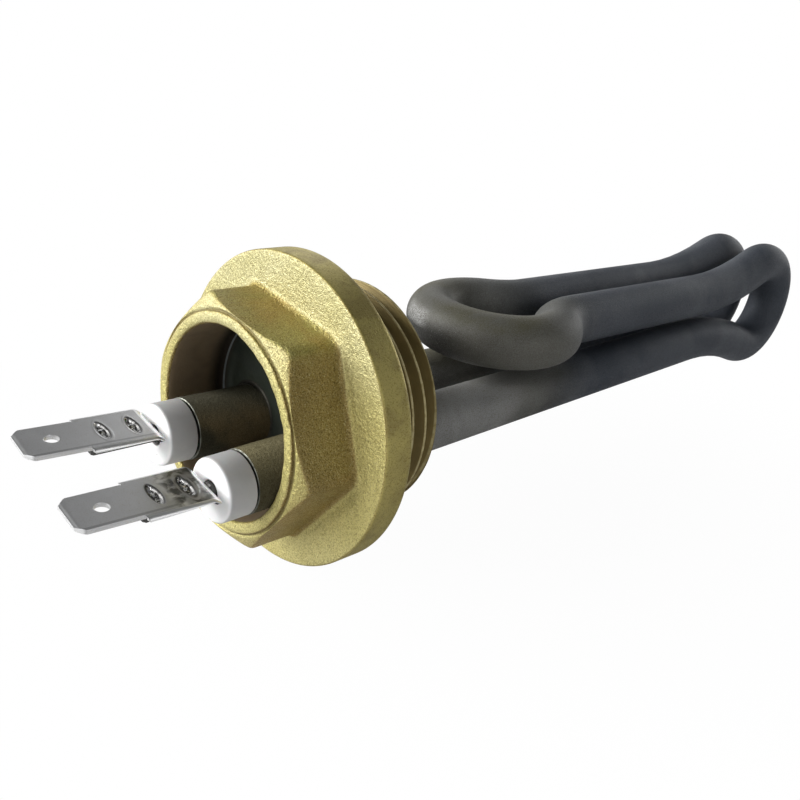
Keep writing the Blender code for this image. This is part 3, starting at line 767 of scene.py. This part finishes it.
def lip_wobble(angle):
    """Small unevenness of the stamped lip, always into the metal."""
    height = sum(share * math.sin(number * angle + start) for share, number, start in LIP_WAVES)
    most = sum(share for share, number, start in LIP_WAVES)
    return LIP_WOBBLE * (height + most) / (2 * most)


def thread_radius(x, angle):
    """Whitworth form, a right-hand helix with a crest at a known place, running out at the relief."""
    turns = (x - THREAD_CREST_PLACE) / THREAD_PITCH - (angle - THREAD_CREST_ANGLE) / FULL_TURN
    ramp = abs(2 * (turns % 1.0) - 1)
    depth = smoothstep(0.0, 1.0, 1 - ramp) * 0.35 + min(1.0, max(0.0, 1.35 * (1 - ramp) - 0.175)) * 0.65
    runout = smoothstep(RELIEF_LENGTH, RELIEF_LENGTH + THREAD_RUNOUT, x)
    return THREAD_RADIUS - THREAD_DEPTH * (1 - (1 - depth) * runout)


def plug():
    work = lathe(plug_profile(), PLUG_STEPS)
    forged = []
    for vertex in work.verts:
        x, y, z = vertex.co
        radius = math.hypot(y, z)
        if radius < 0.01 * MM:
            continue
        angle = math.atan2(z, y)
        if x < FACE + NEARLY:
            x, new = hexagon_place(x, radius, angle)
        elif RELIEF_LENGTH < x and radius > RECESS_RADIUS + 1.5 * MM:
            new = min(radius, thread_radius(x, angle))
        else:
            new = radius
        if x < SHOULDER + NEARLY and radius < GROOVE_OUTSIDE - 0.1 * MM:
            uneven = lip_wobble(angle)
            x += uneven
            new += 0.7 * uneven
        vertex.co = (x, y * new / radius, z * new / radius)
        if x < FACE - 0.2 * MM and radius > LIP_OUTSIDE + 0.1 * MM:
            forged.append(vertex)
    for _ in range(FORGED_SMOOTHINGS):
        bmesh.ops.smooth_vert(
            work, verts=forged, factor=0.5, use_axis_x=True, use_axis_y=True, use_axis_z=True,
        )
    for face in work.faces:
        centre = face.calc_center_median()
        face.material_index = plug_zone(centre.x, math.hypot(centre.y, centre.z))
    bmesh.ops.recalc_face_normals(work, faces=work.faces)
    return finished("plug", work, forged_brass(), rim_brass(), cut_brass(), cup_brass(), sharp=50.0)


def plug_zone(x, radius):
    """Which of the plug's finishes a face has: forged, rim, cut or cup."""
    if x > -0.005 * MM:
        return 2
    if x < WEB_DRY_FACE + 0.01 * MM and radius < CUP_RADIUS + 0.02 * MM:
        return 3
    if radius > FLANGE_RADIUS - 0.1 * MM:
        return 1
    return 0


# Element
def keyhole(half_spacing, radius, ease):
    """How far before its centre a bend starts, and how far it leans out first."""
    lean = math.acos((half_spacing + ease) / (radius + ease))
    return (radius + ease) * math.sin(lean), lean


def spun_on(work, rim, centre, axis, angle):
    """Carries the tube's rim round a bend."""
    steps = max(2, math.ceil(angle / BEND_STEP))
    made = bmesh.ops.spin(
        work, geom=rim, cent=centre, axis=axis, dvec=(0, 0, 0), angle=angle, steps=steps,
        use_merge=False, use_duplicate=False,
    )
    return made["geom_last"]


def drawn_on(work, rim, move):
    """Carries the tube's rim straight on."""
    old_edges = [item for item in rim if isinstance(item, bmesh.types.BMEdge)]
    made = bmesh.ops.extrude_edge_only(work, edges=old_edges)
    moved = [item for item in made["geom"] if isinstance(item, bmesh.types.BMVert)]
    bmesh.ops.translate(work, verts=moved, vec=move)
    edges = [
        item for item in made["geom"]
        if isinstance(item, bmesh.types.BMEdge) and set(item.verts) <= set(moved)
    ]
    return moved + edges


def centre_of(rim):
    places = [item.co for item in rim if isinstance(item, bmesh.types.BMVert)]
    return sum(places, Vector()) / len(places)


def terminal(key):
    """Middle of the tube's end on one side."""
    apart = SIDES[key] * TERMINAL_HALF_SPACING
    y = ELEMENT_OFF_CENTRE + apart * math.cos(TERMINAL_ROLL)
    return Vector((TUBE_END[key], y, -TERMINAL_DROP + apart * math.sin(TERMINAL_ROLL)))


def far_bend(key):
    """Where one side's far bend starts, the middle of its legs, and its lean."""
    half = (RETURN_HEIGHT - LEG_HEIGHT[key]) / 2
    back, lean = keyhole(half, FAR_BEND_RADIUS, FAR_BEND_EASE)
    y = ELEMENT_OFF_CENTRE + SIDES[key] * LEG_HALF_SPACING
    start = Vector((FAR_BEND_CENTRE[key] - back, y, LEG_HEIGHT[key]))
    return start, LEG_HEIGHT[key] + half, lean


def leg_frame(key):
    """Matrix whose X runs along a leg, from the tube's end."""
    start = terminal(key)
    turn = Vector((1.0, 0.0, 0.0)).rotation_difference(far_bend(key)[0] - start).to_matrix().to_4x4()
    return Matrix.Translation(start) @ turn


def bent(work, rim, centres, axis, lean):
    """Carries the rim through a keyhole bend: leaning out, round, and leaning back."""
    out, middle, back = centres
    rim = spun_on(work, rim, out, -axis, lean)
    rim = spun_on(work, rim, middle, axis, math.pi + 2 * lean)
    return spun_on(work, rim, back, -axis, lean)


def far_bent(work, rim, key, rising):
    """The far bend of one side. It runs up on the front side and down on the rear one."""
    start, middle, lean = far_bend(key)
    apart = (RETURN_HEIGHT - LEG_HEIGHT[key]) / 2 + FAR_BEND_EASE
    low = (start.x, start.y, middle - apart)
    high = (start.x, start.y, middle + apart)
    round_it = (FAR_BEND_CENTRE[key], start.y, middle)
    if rising:
        return bent(work, rim, (low, round_it, high), Vector((0, -1, 0)), lean)
    return bent(work, rim, (high, round_it, low), Vector((0, 1, 0)), lean)


def tube():
    """The whole sheath, bent from one straight tube, with open ends."""
    work = bmesh.new()
    circle = bmesh.ops.create_circle(work, cap_ends=False, segments=TUBE_SEGMENTS, radius=TUBE_RADIUS)
    bmesh.ops.rotate(work, verts=work.verts, cent=(0, 0, 0), matrix=Matrix.Rotation(RIGHT_ANGLE, 3, "Y"))
    bmesh.ops.translate(work, verts=work.verts, vec=terminal("front"))
    rim = circle["verts"] + list(work.edges)
    rim = drawn_on(work, rim, far_bend("front")[0] - terminal("front"))
    rim = far_bent(work, rim, "front", True)
    back, lean = keyhole(LEG_HALF_SPACING, NEAR_BEND_RADIUS, NEAR_BEND_EASE)
    near = NEAR_BEND_CENTRE + back
    apart = LEG_HALF_SPACING + NEAR_BEND_EASE
    arcs = ((near, -apart), (NEAR_BEND_CENTRE, 0), (near, apart))
    centres = [(x, ELEMENT_OFF_CENTRE + y, 0) for x, y in arcs]
    near_start = Vector((near, ELEMENT_OFF_CENTRE - LEG_HALF_SPACING, NEAR_BEND_HEIGHT))
    rim = drawn_on(work, rim, near_start - centre_of(rim))
    rim = bent(work, rim, centres, Vector((0, 0, -1)), lean)
    rear = far_bend("rear")[0]
    rim = drawn_on(work, rim, Vector((rear.x, rear.y, RETURN_HEIGHT)) - centre_of(rim))
    rim = far_bent(work, rim, "rear", False)
    drawn_on(work, rim, terminal("rear") - centre_of(rim))
    bmesh.ops.remove_doubles(work, verts=work.verts, dist=NEARLY)
    bmesh.ops.recalc_face_normals(work, faces=work.faces)
    first = min(work.verts, key=lambda vertex: vertex.co.x)
    if first.normal.dot(first.co - terminal("front")) < 0:
        bmesh.ops.reverse_faces(work, faces=work.faces)
    piece = finished("sheath_tube", work, dark_sheath(), cut_tube(), sharp=40.0)
    wall = piece.modifiers.new("wall", "SOLIDIFY")
    wall.thickness = TUBE_WALL
    wall.offset = -1.0
    wall.use_even_offset = True
    wall.material_offset_rim = 1
    return piece


def bead(key, finish):
    """Insulating bead with a rounded front edge, a bore for the pin and a spigot in the tube's end."""
    face = -GAP - BEAD_LENGTH
    hole = PIN_RADIUS + BEAD_BORE_CLEARANCE
    profile = joined(
        path(
            (SPIGOT_LENGTH, hole),
            ((SPIGOT_LENGTH, SPIGOT_RADIUS - SPIGOT_EDGE), 3),
            ((SPIGOT_LENGTH - SPIGOT_EDGE, SPIGOT_RADIUS), 1),
            ((-GAP, SPIGOT_RADIUS), 4),
            ((-GAP, BEAD_RADIUS - BEAD_BACK_EDGE), 3),
        ),
        arc((-GAP - BEAD_BACK_EDGE, BEAD_RADIUS - BEAD_BACK_EDGE), BEAD_BACK_EDGE, 0, 90, 4),
        arc((face + BEAD_EDGE, BEAD_RADIUS - BEAD_EDGE), BEAD_EDGE, 90, 180, 10),
        path(
            (face, BEAD_RADIUS - BEAD_EDGE),
            ((face, hole + BEAD_BORE_EDGE), 5),
            ((face + BEAD_BORE_EDGE, hole), 2),
            ((SPIGOT_LENGTH, hole), 6),
        ),
    )
    work = lathe(profile, 96)
    placed(work, leg_frame(key))
    return finished("bead_" + key, work, finish, sharp=60.0)


def tab_start(key):
    """Where the tab's tip is along its leg, from the tube's end."""
    return -GAP - BEAD_LENGTH - TAB_TO_BEAD[key] - TAB_LENGTH


def pin(key, finish):
    """Cold pin, pressed flat under the tab and round inside the element."""
    start = tab_start(key) + TAB_BLADE + PIN_BEYOND_SHOULDER
    flat_end = tab_start(key) + TAB_LENGTH
    profile = path(
        (start, 0.0),
        ((start, PIN_RADIUS - PIN_NOSE), 1),
        ((start + PIN_NOSE, PIN_RADIUS), 3),
        ((flat_end + 2 * MM, PIN_RADIUS), 30),
        ((PIN_LENGTH, PIN_RADIUS), 8),
        ((PIN_LENGTH, 0.0), 1),
    )
    work = lathe(profile, 40)
    for vertex in work.verts:
        pressed = 1 - smoothstep(flat_end, flat_end + PIN_TAPER, vertex.co.x)
        top = PIN_FLAT[key] + (PIN_RADIUS - PIN_FLAT[key]) * (1 - pressed)
        vertex.co.z = max(min(vertex.co.z, top), PIN_PRESSED[key] * pressed - PIN_RADIUS)
    placed(work, leg_frame(key) @ Matrix.Rotation(TAB_ROLL[key], 4, "X"))
    return finished("pin_" + key, work, finish)


def tab_matrix(key):
    """Place of a tab's tip."""
    height = PIN_FLAT[key] + GAP + TAB_THICKNESS - TAB_SHEET / 2
    end = Matrix.Translation((tab_start(key) + TAB_LENGTH, 0.0, 0.0))
    turn = Matrix.Rotation(TAB_ROLL[key], 4, "X") @ Matrix.Rotation(TAB_YAW[key], 4, "Z")
    return leg_frame(key) @ end @ turn @ Matrix.Translation((-TAB_LENGTH, 0.0, height))


def dent(u, w, place, splash):
    """Depth of an electrode's pit: a lens across the strip, parted by the pin's ridge."""
    along = (u - place) / (DENT_HALF_WIDTH * (1.0 - 0.12 * w / DENT_HALF_LENGTH))
    across = w / DENT_HALF_LENGTH
    reach = math.hypot(along, across)
    pit = 1 - smoothstep(0.62, 1.0, reach)
    ridge = 1 - smoothstep(0.12 * MM, 0.42 * MM, abs(w - 0.25 * MM))
    rim = math.exp(-(((reach - 1.1) / 0.1) ** 2))
    ring = 0.0
    if splash:
        ring = math.exp(-(((math.hypot((u - place) / 1.25, w / 2.0) / MM - 1.0) / 0.1) ** 2))
    return DENT_DEPTH * (-pit * (1 - 0.62 * ridge) + 0.03 * rim + 0.1 * ring)


def strip_places():
    """Places along the strip, closer together at its tip, shoulder, dents and rear margin."""
    first, second = TAB_DENTS
    stretches = (
        (0.4 * MM, 5),
        (TAB_BLADE - 0.3 * MM, 30),
        (TAB_BLADE + 0.25 * MM, 10),
        (first - 1.0 * MM, 6),
        (first + 1.0 * MM, 29),
        (second - 1.15 * MM, 9),
        (second + 1.15 * MM, 33),
        (TAB_LENGTH - 0.9 * MM, 4),
        (TAB_LENGTH, 12),
    )
    return [place for (place,) in path((0.0,), *(((end,), count) for end, count in stretches))]


def tab_place(u, share, splash):
    """A point of the strip's middle surface: u from the tip, share from -1 to 1 across it."""
    half = TAB_HALF_WIDTH - max(0.0, TAB_TIP_CHAMFER - u)
    whole = TAB_FLAT + TAB_FOLD_RADIUS * RIGHT_ANGLE
    half += (whole - TAB_HALF_WIDTH) * smoothstep(TAB_BLADE, TAB_BLADE + 0.16 * MM, u)
    side = abs(share) * half
    flat = min(side, TAB_FLAT)
    turn = min(RIGHT_ANGLE, (side - flat) / TAB_FOLD_RADIUS)
    w = flat + TAB_FOLD_RADIUS * math.sin(turn)
    z = -TAB_FOLD_RADIUS * (1 - math.cos(turn)) * (1 - 0.7 * smoothstep(TAB_BLADE, TAB_LENGTH, u))
    for number, place in enumerate(TAB_DENTS):
        z += dent(u, math.copysign(flat, share), place, splash and number == 1)
    rear = max(0.0, (u - TAB_LENGTH + TAB_REAR_SLOPE) / TAB_REAR_SLOPE)
    z -= TAB_REAR_DROP * rear ** 1.6
    return Vector((u, math.copysign(w, share), z))


def tab(key, finish):
    """Folded terminal: a blade with a chamfered tip, and a base with its edges turned down."""
    places = strip_places()
    work = bmesh.new()
    last = len(places) - 1
    bmesh.ops.create_grid(work, x_segments=last, y_segments=TAB_STEPS_ACROSS, size=1.0)
    for vertex in work.verts:
        step = round((vertex.co.x + 1) / 2 * last)
        vertex.co = tab_place(places[step], vertex.co.y, key == "front")
    bmesh.ops.recalc_face_normals(work, faces=work.faces)
    if sum(face.normal.z for face in work.faces) < 0:
        bmesh.ops.reverse_faces(work, faces=work.faces)
    piece = finished("tab_" + key, work, finish, sharp=40.0)
    group = piece.vertex_groups.new(name="thickness")
    for vertex in piece.data.vertices:
        share = smoothstep(0.0, 0.5 * MM, vertex.co.x)
        group.add([vertex.index], TAB_TIP_THICKNESS + (1 - TAB_TIP_THICKNESS) * share, "REPLACE")
    piece.data.transform(tab_matrix(key))
    sheet = piece.modifiers.new("sheet", "SOLIDIFY")
    sheet.thickness = TAB_SHEET
    sheet.offset = 0.0
    sheet.use_even_offset = True
    sheet.vertex_group = "thickness"
    drill = bmesh.new()
    bmesh.ops.create_cone(
        drill, cap_ends=True, segments=48, radius1=TAB_HOLE_RADIUS, radius2=TAB_HOLE_RADIUS, depth=3 * MM
    )
    placed(drill, tab_matrix(key) @ Matrix.Translation((TAB_HOLE_PLACE, 0.0, 0.0)))
    cutter = finished("drill_" + key, drill, finish)
    hole = piece.modifiers.new("hole", "BOOLEAN")
    hole.operation = "DIFFERENCE"
    hole.object = cutter
    edge = piece.modifiers.new("edge", "BEVEL")
    edge.width = TAB_EDGE
    edge.segments = 2
    edge.limit_method = "ANGLE"
    edge.angle_limit = math.radians(40.0)
    applied(piece)
    bpy.data.objects.remove(cutter)
    return piece


def applied(piece):
    """Makes the piece's modifiers part of its mesh."""
    graph = bpy.context.evaluated_depsgraph_get()
    mesh = bpy.data.meshes.new_from_object(piece.evaluated_get(graph))
    piece.modifiers.clear()
    piece.data = mesh
    mesh.shade_smooth()
    mesh.set_sharp_from_angle(angle=math.radians(40.0))


def braze(key, side, finish):
    """Fillet of brazing alloy between the tube and the dry or the wet face of the web."""
    face, outward = {"dry": (WEB_DRY_FACE, -1), "wet": (WEB_WET_FACE, 1)}[side]
    reach = BRAZE_REACH[side]
    start = TUBE_RADIUS - BRAZE_LAP["tube"]
    corner = arc((0.0, 0.0), reach, 0, 90, 8)
    curve = [(face + outward * (reach - a), TUBE_RADIUS + reach - b) for a, b in corner]
    inside = face - outward * BRAZE_LAP["web"]
    foot = [(inside, start), (face + outward * reach, start)]
    profile = joined(foot, curve[::-1], [(inside, curve[0][1])])
    work = lathe(profile + [profile[0]], 72)
    placed(work, Matrix.Translation((0.0, terminal(key).y, terminal(key).z)))
    return finished(f"braze_{side}_{key}", work, finish)


# Pieces
installed(plug(), "forged_brass", "plug_body")
installed(tube(), "dark_sheath", "heating_sheath")
white = porcelain()
# The pin's steel is near black: painted shade where it shows between the tab and the bead.
steel = plain_metal("pin_steel", (0.10, 0.098, 0.095), (0.06, 0.058, 0.055), 0.5, 3000.0)
alloy = plain_metal("brazing_alloy", (0.20, 0.17, 0.10), (0.12, 0.10, 0.06), 0.45, 1500.0)
oxide = plain_metal("oxidised_alloy", (0.035, 0.033, 0.026), (0.02, 0.02, 0.017), 0.55, 1500.0)
for key in SIDES:
    installed(bead(key, white), "steatite", "ceramic_bead_" + key)
    installed(pin(key, steel), "terminal_pin", "cold_pin_" + key)
    installed(tab(key, plated(key)), "nickel_plate", "tab_terminal_" + key)
    installed(braze(key, "dry", oxide), "forged_brass")
    installed(braze(key, "wet", alloy), "forged_brass")

# Inner pieces keep their shape and get their finish
INNER = {
    "magnesia_core": powder(),
    "resistance_coil": plain_metal("drawn_wire", (0.30, 0.28, 0.25), (0.2, 0.18, 0.16), 0.35, 2500.0),
    "end_seal_front": resin(),
}
INNER["end_seal_rear"] = INNER["end_seal_front"]
for name, finish in INNER.items():
    for slot in frame["nodes"][name].material_slots:
        slot.material = finish


# Floor, light and camera
FLOOR_LEVEL = -FLANGE_RADIUS - 0.05 * MM
FLOOR_HALF = 3.0
FLOOR_FADE = 0.1
FLOOR_MIDDLE = (0.05, 0.0, FLOOR_LEVEL)
ROOM = 0.11
LAMP_SIZE = 0.4
LAMP_AIM = Vector((0.02, 0.0, 0.0))
LAMPS = {
    "left": ((-0.55, 0.15, 0.22), 1.95),
    "left_low": ((-0.55, 0.0, 0.02), 1.2),
    "front": ((0.05, -0.6, 0.15), 0.6),
    "right": ((0.75, 0.0, 0.15), 1.15),
    "back": ((0.05, 0.7, 0.1), 0.55),
    "back_left": ((-0.4, 0.5, 0.3), 4.5),
    "back_right": ((0.5, 0.5, 0.3), 0.7),
}


def floor():
    """White floor: it takes the object's shadow near it and fades into the white background."""
    work = bmesh.new()
    bmesh.ops.create_grid(work, x_segments=1, y_segments=1, size=FLOOR_HALF)
    bmesh.ops.translate(work, verts=work.verts, vec=(0.0, 0.0, FLOOR_LEVEL))
    finish = Finish("white_floor", Roughness=0.9)
    finish.given("Base Color", (0.8, 0.8, 0.8))
    finish.given("Specular IOR Level", 0.0)
    inputs = {0: finish.place, 1: FLOOR_MIDDLE}
    away = finish.node("ShaderNodeVectorMath", inputs, operation="DISTANCE").outputs["Value"]
    share = finish.ranged(away, 0.0, FLOOR_FADE, 0.965, 1.0)
    share = finish.times(share, finish.node("ShaderNodeLightPath").outputs["Is Camera Ray"])
    glow = finish.node("ShaderNodeEmission").outputs[0]
    blend = finish.node("ShaderNodeMixShader", {0: share, 1: finish.shader.outputs[0], 2: glow})
    feed(finish.tree, finish.tree.nodes["Material Output"].inputs["Surface"], blend.outputs[0])
    piece = finished("floor", work, finish.material)


def world():
    """Dim room for the light, white for the camera."""
    made = bpy.data.worlds.new("studio")
    bpy.context.scene.world = made
    made.use_nodes = True
    tree = made.node_tree
    tree.nodes.clear()
    lit = new_node(tree, "ShaderNodeBackground", {"Color": (0.95, 0.98, 1.0), "Strength": ROOM})
    shown = new_node(tree, "ShaderNodeBackground", {"Color": (1.0, 1.0, 1.0)})
    seen = new_node(tree, "ShaderNodeLightPath").outputs["Is Camera Ray"]
    blend = new_node(tree, "ShaderNodeMixShader", {0: seen, 1: lit.outputs[0], 2: shown.outputs[0]})
    new_node(tree, "ShaderNodeOutputWorld", {"Surface": blend.outputs[0]})


def softbox(name, place, power):
    """Round soft lamp aimed at the plug."""
    data = bpy.data.lights.new(name, "AREA")
    data.shape = "DISK"
    data.size = LAMP_SIZE
    data.energy = power
    lamp = bpy.data.objects.new(name, data)
    bpy.context.scene.collection.objects.link(lamp)
    lamp.location = place
    lamp.rotation_euler = (LAMP_AIM - Vector(place)).to_track_quat("-Z", "Y").to_euler()


CAMERA_PLACE = Vector((-0.074338, -0.086343, 0.049402))
CAMERA_RIGHT = Vector((0.70881, -0.69345, 0.12924))
CAMERA_UP = Vector((0.18343, 0.35812, 0.91548))
CAMERA_AHEAD = Vector((0.68113, 0.6252, -0.38104))
LENS = 40.297
SENSOR = 36.0


def camera():
    data = bpy.data.cameras.new("camera")
    data.lens = LENS
    data.sensor_width = SENSOR
    data.clip_start = 0.005
    data.clip_end = 20.0
    made = bpy.data.objects.new("camera", data)
    bpy.context.scene.collection.objects.link(made)
    turn = Matrix((CAMERA_RIGHT, CAMERA_UP, -CAMERA_AHEAD)).transposed().to_4x4()
    made.matrix_world = Matrix.Translation(CAMERA_PLACE) @ turn
    bpy.context.scene.camera = made


floor()
world()
for name, (place, power) in LAMPS.items():
    softbox(name, place, power)
camera()
bpy.context.scene.view_settings.view_transform = "Standard"
